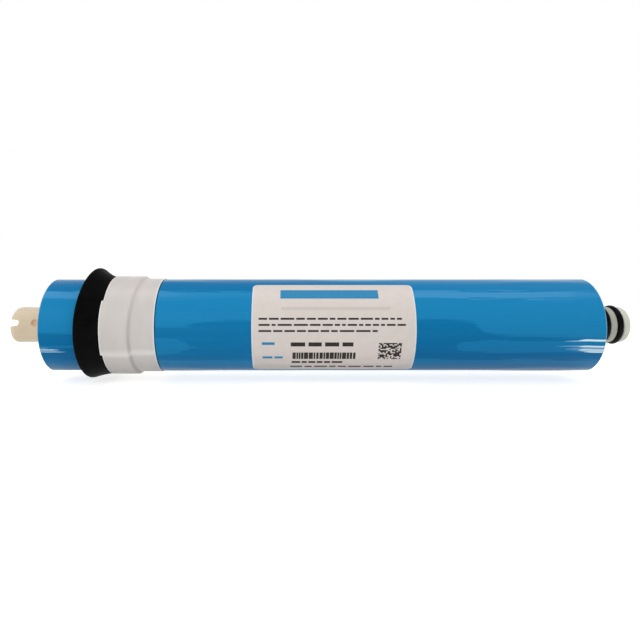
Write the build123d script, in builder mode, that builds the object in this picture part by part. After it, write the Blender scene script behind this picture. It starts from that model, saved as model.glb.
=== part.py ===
"""Spiral-wound reverse osmosis membrane element for a small water purifier.

The element lies along X. Feed water enters at the slotted tail (-X), permeate leaves by the
spigot with the two O-rings (+X). The label faces -Y. The origin is the middle of the
element on its axis. All sizes are millimetres.
"""

import math
import os

from build123d import *

os.makedirs("parts", exist_ok=True)

# Body
body_d = 45.0
body_l = 257.0
wrap_t = 0.5

# Permeate tube
tail_l = 20.5
spigot_l = 20.5
barrel_d = 17.6
tube_end_d = 17.2
permeate_bore_d = 10.0
tail_bore_d = 11.0
tail_bore_depth = 16.0
web_t = 6.0
tail_end_chamfer = 1.8
spigot_end_chamfer = 2.0

# Slot across the tail, turned about X from the label side
slot_angle = -11.0
slot_mouth_w = 3.6
slot_root_w = 2.3
slot_depth = 4.6
slot_root_r = 0.8

# Vent hole in the tail's wall, in line with the slot
vent_hole_d = 3.0
vent_hole_setback = 8.2

# Row of holes that let permeate into the tube
permeate_hole_d = 3.0
permeate_hole_count = 2

# O-rings on the spigot
o_ring_section_d = 3.0
o_ring_outer_d = 19.0
o_ring_edge_chamfer = 0.8
o_ring_end_setback = 5.5
o_ring_pitch = 6.1
o_ring_groove_w = 3.2

# Roll: the leaf and the spacer share the turns, the carrier starts where it has some thickness
run_out_turns = 0.25
leaf_t = 1.4
loose_spacer_t = 1.8
leaf_fold_t = 0.7
leaf_fold_gap = 0.1
carrier_run_in = 5.0

# Brine seal
lip_rise = 4.4
lip_setback = 18.4
lip_l = 8.8
lip_root_l = 2.6
lip_rim_t = 1.3
lip_rim_rake = 0.4
collar_t = 1.18
collar_l = 13.9

# Tape over the seal's collar
tape_t = 0.15
tape_w = 23.5
tape_inset = 1.9
tape_ramp_l = 2.7
tape_tongue_l = 0.85
tape_tongue_start = -32.5
tape_tongue_arc = 63.0

# Label
label_l = 74.4
label_arc_l = 48.8
label_t = 0.1
label_glue_t = 0.05
label_setback = 96.6
label_turn = 1.3
label_corner_r = 2.5

# Places along X
overall_l = tail_l + body_l + spigot_l
tail_end = -overall_l / 2
feed_face = tail_end + tail_l
permeate_face = feed_face + body_l
spigot_end = permeate_face + spigot_l
tail_bore_end = tail_end + tail_bore_depth
permeate_bore_start = tail_bore_end + web_t
outer_o_ring_x = spigot_end - o_ring_end_setback
inner_o_ring_x = outer_o_ring_x - o_ring_pitch
lip_rim = feed_face + lip_setback
collar_start = lip_rim + lip_l
collar_end = collar_start + collar_l
tape_start = collar_start + tape_inset
tape_end = tape_start + tape_w
label_start = feed_face + label_setback

# Radii
body_r = body_d / 2
roll_r = body_r - wrap_t
barrel_r = barrel_d / 2
tube_end_r = tube_end_d / 2
groove_r = o_ring_outer_d / 2 - o_ring_section_d
collar_r = body_r + collar_t
lip_r = body_r + lip_rise

# One turn of the roll is a membrane leaf and the feed spacer on top of it. The roll has a whole
# number of turns and a run-out, and the spacer is squeezed a little so that they fit the wrap.
wall = roll_r - barrel_r
roll_turns = math.ceil(wall / (leaf_t + loose_spacer_t) - run_out_turns)
pitch = wall / (roll_turns + run_out_turns)
spacer_t = pitch - leaf_t
half_turns = 2 * roll_turns + 1


def around(angle):
    """Plane through the axis whose Y points out of the body, turned from the label side."""
    return Plane.XY.rotated((180 + angle, 0, 0))


def spiral_wall(offset, count):
    """Draw one face of a wound sheet as half circles and return its last point."""
    for turn in range(count):
        side = 1 if turn % 2 == 0 else -1
        radius = barrel_r + pitch / 4 + turn * pitch / 2 + offset
        half = CenterArc((-side * pitch / 4, 0), radius, 90 - 90 * side, 180)
    return half @ 1


def spiral_band(inner, outer):
    """Draw the outline of a wound sheet that lies between two offsets from the first turn."""
    inner_end = spiral_wall(inner, half_turns)
    outer_end = spiral_wall(outer, half_turns)
    Line((barrel_r + inner, 0), (barrel_r + outer, 0))
    Line(inner_end, outer_end)


# Permeate tube: slotted tail, web, winding barrel and grooved spigot in one moulding
with BuildPart() as permeate_tube:
    with BuildSketch(Plane.XY):
        with BuildLine():
            Polyline(
                (tail_end, 0),
                (tail_end, tube_end_r),
                (feed_face, tube_end_r),
                (feed_face, barrel_r),
                (permeate_face, barrel_r),
                (permeate_face, tube_end_r),
                (spigot_end, tube_end_r),
                (spigot_end, 0),
                close=True,
            )
        make_face()
        with Locations((inner_o_ring_x, tube_end_r), (outer_o_ring_x, tube_end_r)):
            Rectangle(o_ring_groove_w, 2 * (tube_end_r - groove_r), mode=Mode.SUBTRACT)
        with Locations((tail_end, 0)):
            Rectangle(
                tail_bore_depth,
                tail_bore_d / 2,
                align=(Align.MIN, Align.MIN),
                mode=Mode.SUBTRACT,
            )
        with Locations((permeate_bore_start, 0)):
            Rectangle(
                spigot_end - permeate_bore_start,
                permeate_bore_d / 2,
                align=(Align.MIN, Align.MIN),
                mode=Mode.SUBTRACT,
            )
        chamfer(vertices().group_by(Axis.X)[0].sort_by(Axis.Y)[-1], tail_end_chamfer)
        chamfer(vertices().group_by(Axis.X)[-1].sort_by(Axis.Y)[-1], spigot_end_chamfer)
    revolve(axis=Axis.X)
    slot_side = around(slot_angle).y_dir
    with BuildSketch(Plane(origin=(tail_end, 0, 0), x_dir=(1, 0, 0), z_dir=slot_side)):
        with BuildLine():
            Polyline(
                (0, slot_mouth_w / 2),
                (slot_depth, slot_root_w / 2),
                (slot_depth, -slot_root_w / 2),
                (0, -slot_mouth_w / 2),
                close=True,
            )
        make_face()
        fillet(vertices().group_by(Axis.X)[-1], slot_root_r)
    extrude(amount=tube_end_r, both=True, mode=Mode.SUBTRACT)
    vent_x = feed_face - vent_hole_setback
    with BuildSketch(Plane(origin=(vent_x, 0, 0), x_dir=(1, 0, 0), z_dir=slot_side)):
        Circle(vent_hole_d / 2)
    extrude(amount=tube_end_r, mode=Mode.SUBTRACT)
    with BuildSketch(Plane.XZ):
        with GridLocations(body_l / permeate_hole_count, 0, permeate_hole_count, 1):
            Circle(permeate_hole_d / 2)
    extrude(amount=barrel_r, mode=Mode.SUBTRACT)
permeate_tube.part.label = "permeate_tube"
export_step(permeate_tube.part, "parts/permeate_tube.step")


# O-rings, seated on the floors of the spigot's grooves
for name, ring_x in (("inboard_o_ring", inner_o_ring_x), ("outboard_o_ring", outer_o_ring_x)):
    with BuildPart() as o_ring:
        with BuildSketch(Plane.XY):
            with Locations((ring_x, groove_r + o_ring_section_d / 2)):
                Rectangle(o_ring_section_d, o_ring_section_d)
            chamfer(vertices().group_by(Axis.Y)[-1], o_ring_edge_chamfer)
        revolve(axis=Axis.X)
    o_ring.part.label = name
    export_step(o_ring.part, f"parts/{name}.step")


# Membrane leaf: a glued envelope wound round the tube, folded over the spacer's inner edge
with BuildPart() as membrane_leaf:
    with BuildSketch(Plane.YZ.offset(feed_face)):
        with BuildLine():
            spiral_band(0, leaf_t)
        make_face()
        with Locations((barrel_r + leaf_t / 2, 0)):
            Rectangle(pitch - leaf_t / 2 - leaf_fold_gap, leaf_fold_t, align=(Align.MIN, Align.MIN))
        Circle(roll_r, mode=Mode.INTERSECT)
    extrude(amount=body_l)
membrane_leaf.part.label = "membrane_leaf"
export_step(membrane_leaf.part, "parts/membrane_leaf.step")


# Feed spacer: the net that holds the turns of the leaf apart
with BuildPart() as feed_spacer:
    with BuildSketch(Plane.YZ.offset(feed_face)):
        with BuildLine():
            spiral_band(leaf_t, pitch)
        make_face()
        with Locations((barrel_r + leaf_t / 2, 0)):
            Rectangle(pitch, leaf_fold_t, align=(Align.MIN, Align.MIN), mode=Mode.SUBTRACT)
        Circle(roll_r, mode=Mode.INTERSECT)
    extrude(amount=body_l)
feed_spacer.part.label = "feed_spacer"
export_step(feed_spacer.part, "parts/feed_spacer.step")


# Permeate carrier: the cloth wrapped on the tube, under the first turn of the leaf
with BuildPart() as permeate_carrier:
    with BuildSketch(Plane.YZ.offset(feed_face)):
        with BuildLine():
            spiral_wall(0, 2)
            Line((barrel_r + pitch, 0), (barrel_r, 0))
        make_face()
        Circle(barrel_r, mode=Mode.SUBTRACT)
        Rectangle(
            barrel_r + pitch,
            carrier_run_in,
            align=(Align.MIN, Align.MIN),
            mode=Mode.SUBTRACT,
        )
    extrude(amount=body_l)
permeate_carrier.part.label = "permeate_carrier"
export_step(permeate_carrier.part, "parts/permeate_carrier.step")


# Outer wrap: the film that binds the roll
with BuildPart() as outer_wrap:
    with BuildSketch(Plane.YZ.offset(feed_face)):
        Circle(body_r)
        Circle(roll_r, mode=Mode.SUBTRACT)
    extrude(amount=body_l)
outer_wrap.part.label = "outer_wrap"
export_step(outer_wrap.part, "parts/outer_wrap.step")


# Brine seal: a rubber band on the wrap whose lip flares towards the feed end
with BuildPart() as brine_seal:
    with BuildSketch(Plane.XY):
        with BuildLine():
            Polyline(
                (collar_end, body_r),
                (collar_end, collar_r),
                (collar_start, collar_r),
                (lip_rim, lip_r),
                (lip_rim - lip_rim_rake, lip_r - lip_rim_t),
                (collar_start - lip_root_l, body_r),
                close=True,
            )
        make_face()
    revolve(axis=Axis.X)
brine_seal.part.label = "brine_seal"
export_step(brine_seal.part, "parts/brine_seal.step")


# Seal tape: wound over the collar and down on to the wrap, its free end left as a tongue
with BuildPart() as seal_tape:
    with BuildSketch(Plane.XY):
        with BuildLine():
            Polyline(
                (tape_start, collar_r),
                (tape_start, collar_r + tape_t),
                (collar_end, collar_r + tape_t),
                (collar_end + tape_ramp_l, body_r + tape_t),
                (tape_end, body_r + tape_t),
                (tape_end, body_r),
                (collar_end, body_r),
                (collar_end, collar_r),
                close=True,
            )
        make_face()
    revolve(axis=Axis.X)
    with BuildSketch(around(tape_tongue_start)):
        with Locations((tape_start - tape_tongue_l, collar_r)):
            Rectangle(tape_tongue_l, tape_t, align=(Align.MIN, Align.MIN))
    revolve(axis=Axis.X, revolution_arc=tape_tongue_arc)
seal_tape.part.label = "seal_tape"
export_step(seal_tape.part, "parts/seal_tape.step")


# Label: a bare sticker with round corners, bent round the wrap
label_r = body_r + label_glue_t
label_arc = math.degrees(label_arc_l / label_r)
with BuildPart() as label:
    with BuildSketch(around(label_turn - label_arc / 2)):
        with Locations((label_start, label_r)):
            Rectangle(label_l, 2 * label_corner_r, align=(Align.MIN, Align.CENTER))
    revolve(axis=Axis.X, revolution_arc=label_arc)
    corner_edges = label.edges().filter_by(GeomType.LINE).filter_by(Axis.X, reverse=True)
    fillet(corner_edges, label_corner_r)
    with BuildSketch(Plane.YZ.offset(label_start)):
        Circle(label_r + label_t)
        Circle(label_r, mode=Mode.SUBTRACT)
    extrude(amount=label_l, mode=Mode.INTERSECT)
label.part.label = "label"
export_step(label.part, "parts/label.step")
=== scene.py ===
"""Looks for a spiral-wound membrane element, laid out as a Blender add-on.

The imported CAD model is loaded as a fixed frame. Each operator builds one piece, or one group
of like pieces, over that frame in metres. X runs from the slotted tail to the spigot, the
label faces -Y and Z is up. Angles round the body start at -Y and grow downwards.
"""

import math
import random

import bmesh
import bpy
from bpy.props import FloatProperty, FloatVectorProperty, IntProperty, PointerProperty
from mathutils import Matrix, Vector


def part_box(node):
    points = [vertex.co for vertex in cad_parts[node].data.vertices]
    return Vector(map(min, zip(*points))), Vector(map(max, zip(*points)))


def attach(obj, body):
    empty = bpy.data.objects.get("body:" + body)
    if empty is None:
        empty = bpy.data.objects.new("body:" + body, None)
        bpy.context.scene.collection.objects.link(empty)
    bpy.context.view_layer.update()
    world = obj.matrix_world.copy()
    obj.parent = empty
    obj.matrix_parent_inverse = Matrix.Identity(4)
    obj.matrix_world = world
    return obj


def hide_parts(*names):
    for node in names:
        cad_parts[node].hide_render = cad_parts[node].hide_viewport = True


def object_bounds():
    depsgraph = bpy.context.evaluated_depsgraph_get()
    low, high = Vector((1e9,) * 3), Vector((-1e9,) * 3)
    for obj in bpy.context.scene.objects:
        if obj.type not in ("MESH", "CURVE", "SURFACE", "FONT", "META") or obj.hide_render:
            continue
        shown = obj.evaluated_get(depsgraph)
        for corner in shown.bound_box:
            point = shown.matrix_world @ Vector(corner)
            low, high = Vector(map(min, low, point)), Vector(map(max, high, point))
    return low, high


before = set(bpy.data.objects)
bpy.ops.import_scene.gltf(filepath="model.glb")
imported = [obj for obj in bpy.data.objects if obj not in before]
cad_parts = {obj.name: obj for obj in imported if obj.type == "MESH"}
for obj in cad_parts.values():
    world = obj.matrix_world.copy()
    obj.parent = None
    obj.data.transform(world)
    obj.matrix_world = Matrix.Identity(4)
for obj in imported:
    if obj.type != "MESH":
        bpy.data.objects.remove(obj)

bl_info = {
    "name": "Membrane Element",
    "version": (1, 0, 0),
    "blender": (4, 5, 0),
    "location": "3D View > Sidebar > Element",
    "description": "Builds a spiral-wound membrane element over its CAD frame",
    "category": "Add Mesh",
}

MM = 0.001
TURN = 2 * math.pi
WHITE = (1, 1, 1, 1)
AXIS = Vector((1, 0, 0))

# Places that the CAD frame gives
CAD_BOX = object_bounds()
TUBE_LOW, TUBE_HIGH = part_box("permeate_tube")
WRAP_LOW, WRAP_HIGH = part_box("outer_wrap")
LEAF_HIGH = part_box("membrane_leaf")[1]
SEAL_LOW, SEAL_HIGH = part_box("brine_seal")
TAPE_LOW, TAPE_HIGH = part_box("seal_tape")
LABEL_LOW, LABEL_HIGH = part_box("label")
INBOARD_LOW, INBOARD_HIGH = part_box("inboard_o_ring")
OUTBOARD_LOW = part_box("outboard_o_ring")[0]

BODY_R = WRAP_HIGH.z
BARREL_R = TUBE_HIGH.z
ROLL_R = LEAF_HIGH.z
TAIL, SPIGOT = TUBE_LOW.x, TUBE_HIGH.x
FEED, PERMEATE = WRAP_LOW.x, WRAP_HIGH.x
RING_MIDDLE = (INBOARD_LOW.x + INBOARD_HIGH.x) / 2
RING_PITCH = OUTBOARD_LOW.x - INBOARD_LOW.x

# What sits on the film reaches this far into it, so that no gap shows at its ripples
SUNK = 0.25 * MM

# Rows of a mesh: their width along a cut edge, and where even ones start from an end
EDGE_ROW = 0.5 * MM
MARGIN = 1 * MM

# Points round a full turn
TUBE_STEPS = 160
HOLE_STEPS = 40
FILM_STEPS = 240
SEAL_STEPS = 192
RING_STEPS = 128
CORD_STEPS = 28
SPIRAL_STEPS = 96
STRAND_SIDES = 8
FLOOR_STEPS = 96


def linear(code):
    """Turn an sRGB hex colour into the linear colour that shaders take."""
    parts = [int(code[at : at + 2], 16) / 255 for at in (1, 3, 5)]
    return [p / 12.92 if p <= 0.04045 else ((p + 0.055) / 1.055) ** 2.4 for p in parts] + [1.0]


def number(name, description, default):
    """A plain number that a user may change."""
    return FloatProperty(name=name, description=description, default=default)


def whole(name, description, default):
    """A whole number that a user may change."""
    return IntProperty(name=name, description=description, default=default)


def length(name, description, default):
    """A size in metres that a user may change."""
    return FloatProperty(
        name=name, description=description, default=default, unit="LENGTH", precision=5
    )


def turn(name, description, degrees):
    """An angle that a user may change."""
    return FloatProperty(
        name=name, description=description, default=math.radians(degrees), subtype="ANGLE"
    )


def colour(name, description, code):
    """A surface colour that a user may change."""
    return FloatVectorProperty(
        name=name,
        description=description,
        default=linear(code),
        size=4,
        min=0,
        max=1,
        subtype="COLOR",
    )


class TubeSettings(bpy.types.PropertyGroup):
    end_r: length("End radius", "Outside radius of the tail and the spigot", 8.6 * MM)
    tail_bore_r: length("Tail bore radius", "Radius of the hollow tail", 5.5 * MM)
    tail_bore_depth: length("Tail bore depth", "Depth of the hollow tail", 16.0 * MM)
    web: length("Web", "Wall between the tail and the permeate bore", 6.0 * MM)
    bore_r: length("Permeate bore radius", "Radius of the long bore", 5.0 * MM)
    tail_rounding: length("Tail rounding", "Rounding of the tail's outer edge", 2.0 * MM)
    tail_wear: length("Tail wear", "How much rounder that edge is on top", 0.6 * MM)
    mouth_rounding: length("Mouth rounding", "Rounding of the tail's inner edge", 0.25 * MM)
    floor_rounding: length("Floor rounding", "Rounding of the hollow tail's floor", 0.5 * MM)
    spigot_rounding: length("Spigot rounding", "Rounding of the spigot's end", 2.1 * MM)
    bore_rounding: length("Bore rounding", "Rounding of the long bore's mouth", 0.4 * MM)
    slot_turn: turn("Slot turn", "Turn of the slot from the label side", -11.0)
    slot_mouth: length("Slot mouth", "Width of the slot at the tail's end", 3.6 * MM)
    slot_root: length("Slot root", "Width of the slot at its floor", 2.3 * MM)
    slot_depth: length("Slot depth", "Depth of the slot along the tail", 4.6 * MM)
    slot_rounding: length("Slot rounding", "Rounding of the slot's floor", 1.0 * MM)
    hole_r: length("Hole radius", "Radius of the vent and permeate holes", 1.5 * MM)
    vent_setback: length("Vent setback", "Vent hole from the roll's feed face", 8.2 * MM)
    vent_fill: length("Vent fill", "Old glue in the vent hole, below the surface", 0.5 * MM)
    hole_spread: length("Hole spread", "Distance between the permeate holes", 128.5 * MM)
    tail_colour: colour("Tail colour", "Warm resin at the tail", "#dccdb4")
    spigot_colour: colour("Spigot colour", "Cooler resin at the spigot", "#d4d8cd")
    # Painted shade and grease about the O-rings
    shade_and_grease_colour: colour("Haze colour", "Grease between the O-rings", "#afb3aa")
    stain_colour: colour("Stain colour", "Old glue round the vent hole", "#dcab7c")


class RingSettings(bpy.types.PropertyGroup):
    section: length("Section", "Diameter of the cord of a ring", INBOARD_HIGH.x - INBOARD_LOW.x)
    outer_r: length("Outer radius", "Outside radius of a ring", INBOARD_HIGH.z)
    groove: length("Groove", "Width of a groove in the spigot", 3.2 * MM)
    groove_rounding: length("Groove rounding", "Rounding of a groove's edges", 0.2 * MM)
    first: length("First", "Middle of the inboard ring", RING_MIDDLE)
    pitch: length("Pitch", "Distance between the rings", RING_PITCH)
    count: whole("Count", "Number of rings", 2)
    colour: colour("Colour", "Nitrile rubber", "#060606")


class RollSettings(bpy.types.PropertyGroup):
    turns: number("Turns", "Turns of the leaf", 10.0)
    leaf: length("Leaf", "Thickness of the glued leaf", 0.62 * MM)
    run_out: number("Run-out", "How far a sheet thins out against the film", 0.95)
    slack: length("Slack", "Clearance between the sheets and the film", 0.02 * MM)
    carrier: length("Carrier", "Thickness of the cloth on the tube", 0.6 * MM)
    sheet: length("Net sheet", "Thickness of the net inside the roll", 0.3 * MM)
    strand: length("Strand", "Diameter of a strand of the net", 0.52 * MM)
    mesh_size: length("Mesh", "Distance between strands", 2.4 * MM)
    strand_end: length("Strand end", "Length of the strands shown at a face", 6.0 * MM)
    strand_turn: turn("Strand turn", "Slope of a strand from the roll's axis", 32.0)
    leaf_colour: colour("Leaf colour", "Polyester backing", "#e4dfd0")
    net_colour: colour("Net colour", "Natural polypropylene", "#cfd6d4")
    carrier_colour: colour("Carrier colour", "Bleached tricot", "#ece9e0")


class WrapSettings(bpy.types.PropertyGroup):
    ripple: length("Ripple", "Depth of the film's ripples", 0.2 * MM)
    lap: length("Lap", "Step where the film ends on itself", 0.12 * MM)
    lap_turn: turn("Lap turn", "Place of that step", 165.0)
    # Width of the painted highlight along the cut edge
    edge: length("Cut edge", "Width of the whitened cut edge", 0.25 * MM)
    bevel: length("Edge bevel", "Rounding of the cut edge", 0.12 * MM)
    colour: colour("Colour", "Blue film", "#1f85bb")
    # Painted shade and painted reflection: deeper blue in the film's dark zones, paler blue in its
    # painted highlight band and patch
    painted_shade_blue: colour("Deep colour", "Blue where the layers lie close", "#02689f")
    painted_highlight_blue: colour("Pale colour", "Blue where the layers part", "#5a9fd2")
    # Painted highlight along the film's cut edge
    edge_colour: colour("Edge colour", "Whitened cut edge", "#86b6d2")
    # Painted highlights along creases at the film's cut ends
    faint_crease_highlight: colour("Faint crease", "Film paled along a faint crease", "#5fb0e6")
    crease_highlight_colour: colour("Crease colour", "Film whitened along a crease", "#e4f6ff")
    # Painted shadow along the edge of the tape
    edge_shadow_colour: colour("Dirt colour", "Dirt along the edge of the tape", "#0b4064")


class SealSettings(bpy.types.PropertyGroup):
    collar: length("Collar", "Thickness of the seal's collar", 1.18 * MM)
    collar_length: length("Collar length", "Length of the collar", 13.9 * MM)
    collar_rounding: length("Collar rounding", "Rounding of the collar's end", 0.2 * MM)
    flank_start: length("Flank start", "Where the lip leaves the collar", 0.6 * MM)
    rim: length("Rim", "Thickness of the lip's rim", 1.3 * MM)
    rim_setback: length("Rim setback", "Rim from the seal's front", 0.4 * MM)
    rim_lean: length("Rim lean", "How far the rim's inner edge stands ahead", 0.55 * MM)
    outer_rounding: length("Outer rounding", "Rounding of the rim's outer edge", 0.55 * MM)
    inner_rounding: length("Inner rounding", "Rounding of the rim's inner edge", 0.45 * MM)
    root: length("Root", "Lip root ahead of the collar", 2.6 * MM)
    lift: length("Lift", "How far the lip sits off centre", 1.2 * MM)
    rim_shift: length("Rim shift", "Place of the rim at the front and back", -0.62 * MM)
    rim_tilt: length("Rim tilt", "How far the rim tilts back at the top", 1.02 * MM)
    rim_bow: length("Rim bow", "How far the rim bows back above and below", 1.3 * MM)
    end_shift: length("End shift", "Place of the collar's end at the front", -0.9 * MM)
    end_tilt: length("End tilt", "How far that end tilts back at the top", 0.9 * MM)
    end_bow: length("End bow", "How far that end bows back above and below", 1.3 * MM)
    colour: colour("Colour", "Brine seal rubber", "#040404")
    bloom: colour("Bloom", "Grey bloom on the rubber", "#0b0b0b")


class TapeSettings(bpy.types.PropertyGroup):
    thickness: length("Thickness", "Thickness of the tape", 0.15 * MM)
    ramp: length("Ramp", "Length of the step down to the film", 2.0 * MM)
    gap: length("Gap", "Tape from the end of the collar below it", 0.05 * MM)
    near_shift: length("Near shift", "Place of the edge on the seal", -0.25 * MM)
    near_tilt: length("Near tilt", "How far that edge tilts back at the top", 0.3 * MM)
    near_wander: length("Near wander", "How far that edge wanders", 0.05 * MM)
    far_wander: length("Far wander", "How far the edge on the film wanders", 0.08 * MM)
    pucker: length("Pucker", "Depth of the puckers on the ramp", 0.05 * MM)
    tongue: length("Tongue", "How far the free end stands out", 0.85 * MM)
    tongue_start: turn("Tongue start", "Upper end of the tongue", -32.5)
    tongue_end: turn("Tongue end", "Lower end of the tongue", 30.5)
    # Where the painted highlight along the free end starts
    lap_highlight_start: turn("Lap start", "Where the upper layer starts to lift", 21.5)
    lap_peak: turn("Lap peak", "Free end of the upper layer", 30.0)
    lap_end: turn("Lap end", "Where the layer below lies flat again", 35.6)
    layer: length("Layer", "Step at the free end", 0.1 * MM)
    colour: colour("Colour", "White vinyl", "#d2ccc8")
    # Also the colour of the painted highlight along the free end
    edge_colour: colour("Edge colour", "Cut edge", "#f6f3f0")


class LabelSettings(bpy.types.PropertyGroup):
    arc: length("Arc length", "Width of the label round the body", 48.8 * MM)
    turned: turn("Turn", "Middle of the label", 1.3)
    thickness: length("Thickness", "Height of the label above the body", 0.15 * MM)
    corner: length("Corner", "Radius of the corners", 2.5 * MM)
    ink: length("Ink", "Height of the print", 0.02 * MM)
    seed: whole("Seed", "Seed of the plain print", 11)
    colour: colour("Colour", "Coated paper", "#ddd3cd")
    edge_colour: colour("Edge colour", "Cut paper edge", "#fbf9f8")
    ink_dark: colour("Dark ink", "Dark grey print", "#1c1918")
    ink_blue: colour("Blue ink", "Blue print", "#1f86b8")
    ink_faint: colour("Faint ink", "Pale grey print", "#cfc6c0")


class StageSettings(bpy.types.PropertyGroup):
    eye: FloatVectorProperty(
        name="Camera",
        description="Place of the camera",
        default=(-13.05 * MM, -256.3 * MM, 23.85 * MM),
        subtype="TRANSLATION",
    )
    lens: number("Lens", "Focal length in millimetres", 29.19)
    shift: FloatVectorProperty(
        name="Shift", description="Shift of the frame", size=2, default=(0.0418, -0.0683)
    )
    floor_r: length("Floor", "Radius of the floor", 0.8)
    floor_colour: colour("Floor colour", "Pale paper", "#f2f2f0")
    floor_lift: number("Floor lift", "Glow that keeps the floor white", 0.7)
    ambient: number("Ambient", "Even light of the room", 0.68)
    room: number("Room", "Brightness of the room in front", 0.45)


class ElementSettings(bpy.types.PropertyGroup):
    tube: PointerProperty(type=TubeSettings)
    rings: PointerProperty(type=RingSettings)
    roll: PointerProperty(type=RollSettings)
    wrap: PointerProperty(type=WrapSettings)
    seal: PointerProperty(type=SealSettings)
    tape: PointerProperty(type=TapeSettings)
    label: PointerProperty(type=LabelSettings)
    stage: PointerProperty(type=StageSettings)


# Mesh code


def on_body(x, radius, angle):
    """Point at a place along the axis, a radius and an angle round the body."""
    return Vector((x, -radius * math.cos(angle), -radius * math.sin(angle)))


def evenly(count, start=0.0):
    """Angles of a full turn, without the last one, which would repeat the first."""
    return [start + TURN * step / count for step in range(count)]


def between(start, end, count):
    """Places that divide a stretch into so many equal parts, without its two ends."""
    return [start + (end - start) * step / count for step in range(1, count)]


def ease(value):
    """Smooth step from 0 to 1."""
    value = min(1.0, max(0.0, value))
    return value * value * (3 - 2 * value)


def bowed(angle, shift, tilt, bow):
    """Shift along the axis that grows towards the top and bows back above and below."""
    up = -math.sin(angle)
    return shift + tilt * up + bow * up * up


def collar_end(seal, angle):
    """Place where the seal's collar ends, and the tape on it steps down."""
    return SEAL_HIGH.x + bowed(angle, seal.end_shift, seal.end_tilt, seal.end_bow)


def soften(corners, steps=5):
    """Round the corners of an open outline of (x, y, rounding) and return its points."""
    points = []
    for index, (x, y, rounding) in enumerate(corners):
        here = Vector((x, y))
        if not rounding:
            points.append(here)
            continue
        before = (Vector(corners[index - 1][:2]) - here).normalized()
        after = (Vector(corners[index + 1][:2]) - here).normalized()
        half = before.angle(after) / 2
        centre = here + (before + after).normalized() * (rounding / math.sin(half))
        start = here + before * (rounding / math.tan(half)) - centre
        end = here + after * (rounding / math.tan(half)) - centre
        for step in range(steps + 1):
            points.append(centre + start.lerp(end, step / steps).normalized() * rounding)
    return points


def skin(name, rings, closed=False, capped=False):
    """Mesh over a row of rings with like numbers of points. A ring of one point is a pole."""
    points, rows, faces = [], [], []
    for ring in rings:
        rows.append(range(len(points), len(points) + len(ring)))
        points.extend(ring)
    pairs = list(zip(rows, rows[1:]))
    if closed:
        pairs.append((rows[-1], rows[0]))
    for one, two in pairs:
        count = max(len(one), len(two))
        for here in range(count):
            there = (here + 1) % count
            face = (
                one[here % len(one)],
                one[there % len(one)],
                two[there % len(two)],
                two[here % len(two)],
            )
            faces.append(list(dict.fromkeys(face)))
    if capped:
        faces += [list(rows[0]), list(rows[-1])]
    mesh = bpy.data.meshes.new(name)
    mesh.from_pydata(points, [], faces)
    turned = bmesh.new()
    turned.from_mesh(mesh)
    bmesh.ops.recalc_face_normals(turned, faces=turned.faces)
    turned.to_mesh(mesh)
    turned.free()
    return mesh


def revolve(name, outline_at, angles, closed=True):
    """Mesh swept round the axis from an outline of (x, radius) that may change with the angle."""
    outlines = [outline_at(angle) for angle in angles]
    rings = []
    for column in zip(*outlines):
        if all(radius == 0 for x, radius in column):
            rings.append([Vector((column[0][0], 0, 0))])
        else:
            rings.append([on_body(x, r, a) for (x, r), a in zip(column, angles)])
    return skin(name, rings, closed=closed)


def prism(outline, way, start, end):
    """Rings of a bar that runs along a way, with its outline in X and across that way."""
    across = AXIS.cross(way)
    return [[AXIS * x + across * w + way * reach for x, w in outline] for reach in (start, end)]


def mark(mesh, name, values):
    """Store one number for each point of a mesh, for a material to read."""
    attribute = mesh.attributes.new(name, "FLOAT", "POINT")
    attribute.data.foreach_set("value", values)


def settle(name, mesh, materials, replaced=(), crease=35.0):
    """Make a finished piece of a mesh: smooth, dressed, riding on the element."""
    if not mesh.polygons:
        raise RuntimeError(f"{name} came out with no faces")
    mesh.name = name
    mesh.materials.clear()
    for material in materials:
        mesh.materials.append(material)
    mesh.shade_smooth()
    mesh.set_sharp_from_angle(angle=math.radians(crease))
    piece = bpy.data.objects.new(name, mesh)
    bpy.context.scene.collection.objects.link(piece)
    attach(piece, "root")
    if replaced:
        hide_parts(*replaced)
    return piece


def evaluated(mesh, dress):
    """Plain mesh that a mesh becomes under the modifiers that dress() adds to it."""
    carrier = bpy.data.objects.new("carrier", mesh)
    bpy.context.scene.collection.objects.link(carrier)
    dress(carrier)
    depsgraph = bpy.context.evaluated_depsgraph_get()
    result = bpy.data.meshes.new_from_object(carrier.evaluated_get(depsgraph))
    carrier.modifiers.clear()
    bpy.data.objects.remove(carrier)
    return result


# Nodes


def fill(tree, node, inputs):
    """Set or link a node's inputs by name or number. A node gives its first output in use."""
    for key, value in inputs.items():
        if isinstance(value, bpy.types.Node):
            value = next(socket for socket in value.outputs if socket.enabled)
        if isinstance(value, bpy.types.NodeSocket):
            tree.links.new(value, node.inputs[key])
        else:
            node.inputs[key].default_value = value


def add(tree, kind, inputs=None, **settings):
    """Add a node with its settings, and fill its inputs."""
    made = tree.nodes.new(kind)
    for name, value in settings.items():
        setattr(made, name, value)
    fill(tree, made, inputs or {})
    return made


def new_tree(name, **inputs):
    """Geometry Nodes tree with inputs named under their kinds, and the sockets that give them."""
    tree = bpy.data.node_groups.new(name, "GeometryNodeTree")
    tree.interface.new_socket("Geometry", in_out="OUTPUT", socket_type="NodeSocketGeometry")
    for kind, labels in {"Geometry": ["Geometry"], **inputs, "Material": ["Material"]}.items():
        for label in labels:
            tree.interface.new_socket(label, in_out="INPUT", socket_type="NodeSocket" + kind)
    return tree, add(tree, "NodeGroupInput").outputs


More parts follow.
